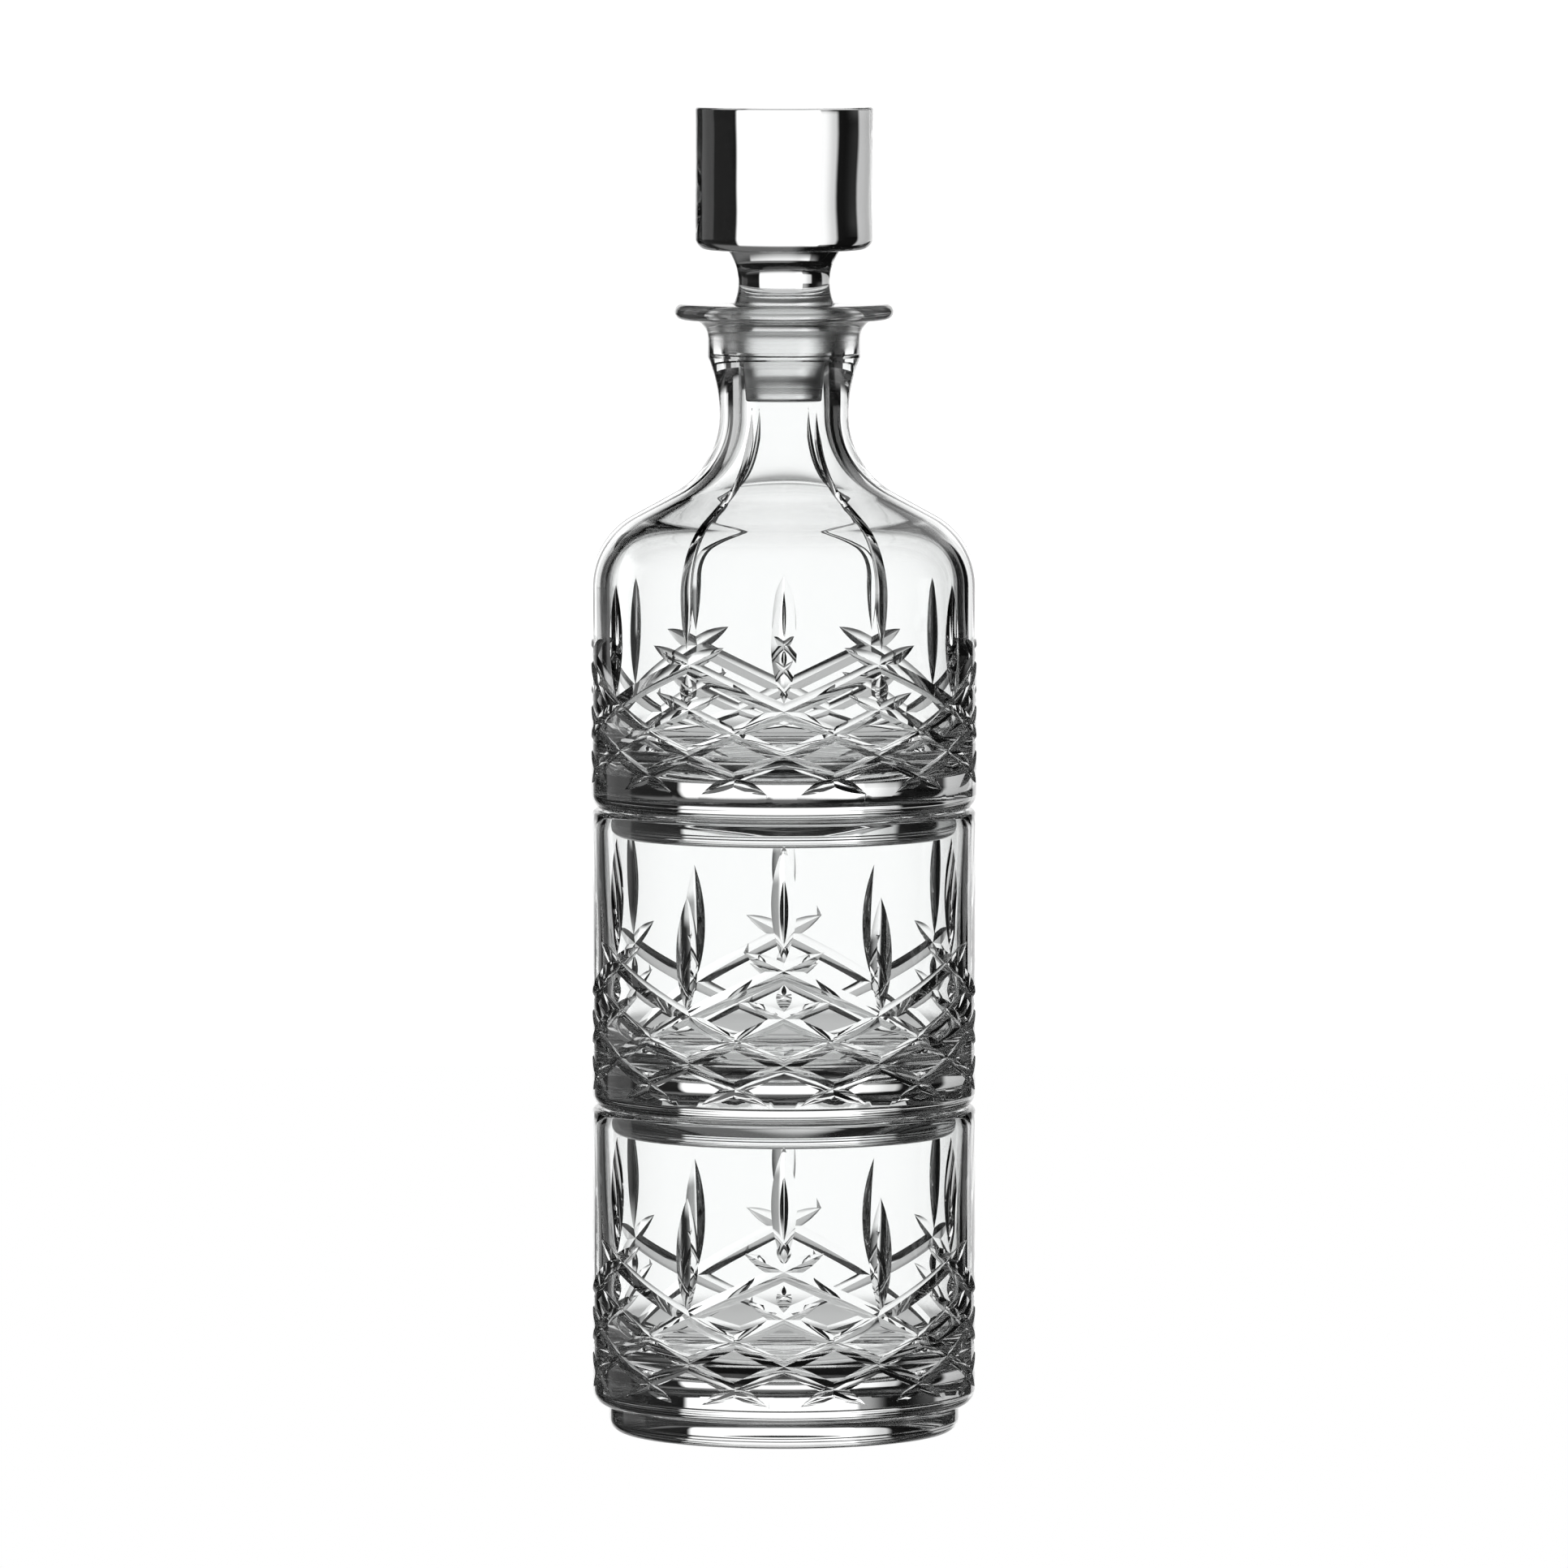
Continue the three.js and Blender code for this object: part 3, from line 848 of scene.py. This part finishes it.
def makeWorld():
    # The camera itself sees plain white. The glass sees the panels.
    world = bpy.data.worlds.new("studio")
    bpy.context.scene.world = world
    world.use_nodes = True
    tree = world.node_tree
    tree.nodes.clear()
    direction = tree.nodes.new("ShaderNodeTexCoord")
    parts = tree.nodes.new("ShaderNodeSeparateXYZ")
    tree.links.new(direction.outputs["Generated"], parts.inputs[0])
    azimuth = mathNode(tree, "ARCTAN2", parts.outputs["X"], parts.outputs["Y"])
    azimuth = mathNode(tree, "MULTIPLY", azimuth, 180 / math.pi)
    elevation = mathNode(tree, "MULTIPLY", mathNode(tree, "ARCSINE", parts.outputs["Z"]), 180 / math.pi)
    light = studio["room"]
    for *place, brightness in studio["cards"]:
        panel = panelMask(tree, azimuth, elevation, *place)
        light = mathNode(tree, "ADD", light, mathNode(tree, "MULTIPLY", panel, brightness))
    rays = tree.nodes.new("ShaderNodeLightPath")
    unreflected = mathNode(tree, "LESS_THAN", rays.outputs["Glossy Depth"], 0.5)
    for *place, brightness in studio["glowCards"]:
        panel = panelMask(tree, azimuth, elevation, *place)
        glow = mathNode(tree, "MULTIPLY", mathNode(tree, "MULTIPLY", panel, brightness), unreflected)
        light = mathNode(tree, "ADD", light, glow)
    shown = mathNode(tree, "MAXIMUM", light, rays.outputs["Is Camera Ray"])
    background = tree.nodes.new("ShaderNodeBackground")
    output = tree.nodes.new("ShaderNodeOutputWorld")
    background.inputs["Color"].default_value = (1, 1, 1, 1)
    tree.links.new(shown, background.inputs["Strength"])
    tree.links.new(background.outputs[0], output.inputs["Surface"])


def makeFloor():
    # White to the camera and clear to everything else: the panels under the set stand in for its light.
    angles = np.arange(studio["floorCorners"]) * (2 * math.pi / studio["floorCorners"])
    radius = studio["floorRadius"]
    ring = [(radius * math.cos(a), radius * math.sin(a), 0.0) for a in angles]
    mesh = bpy.data.meshes.new("floor")
    mesh.from_pydata(ring, [], [tuple(range(len(ring)))])
    floor = bpy.data.objects.new("floor", mesh)
    floor.location.z = -studio["floorDrop"]
    bpy.context.scene.collection.objects.link(floor)
    material = bpy.data.materials.new("paleFloor")
    material.use_nodes = True
    tree = material.node_tree
    tree.nodes.clear()
    rays = tree.nodes.new("ShaderNodeLightPath")
    pale = tree.nodes.new("ShaderNodeEmission")
    clear = tree.nodes.new("ShaderNodeBsdfTransparent")
    choice = tree.nodes.new("ShaderNodeMixShader")
    output = tree.nodes.new("ShaderNodeOutputMaterial")
    tree.links.new(rays.outputs["Is Camera Ray"], choice.inputs["Fac"])
    tree.links.new(clear.outputs[0], choice.inputs[1])
    tree.links.new(pale.outputs[0], choice.inputs[2])
    tree.links.new(choice.outputs[0], output.inputs["Surface"])
    mesh.materials.append(material)


def makeCamera():
    camera = bpy.data.objects.new("camera", bpy.data.cameras.new("camera"))
    bpy.context.scene.collection.objects.link(camera)
    lift = math.radians(studio["elevation"])
    target = Vector(studio["target"])
    offset = Vector((0, -math.cos(lift), math.sin(lift))) * studio["distance"]
    camera.location = target + offset
    camera.rotation_euler = (-offset).to_track_quat("-Z", "Y").to_euler()
    camera.data.lens = studio["lens"]
    camera.data.sensor_width = studio["sensor"]
    camera.data.clip_end = studio["clipEnd"]
    bpy.context.scene.camera = camera


makeWorld()
makeFloor()
makeCamera()
bpy.context.scene.view_settings.view_transform = "Standard"
cycles = bpy.context.scene.cycles
cycles.max_bounces = studio["bounces"]
cycles.transmission_bounces = studio["bounces"]
cycles.glossy_bounces = studio["reflections"]
print("light, floor and camera set")

print("scene ready")
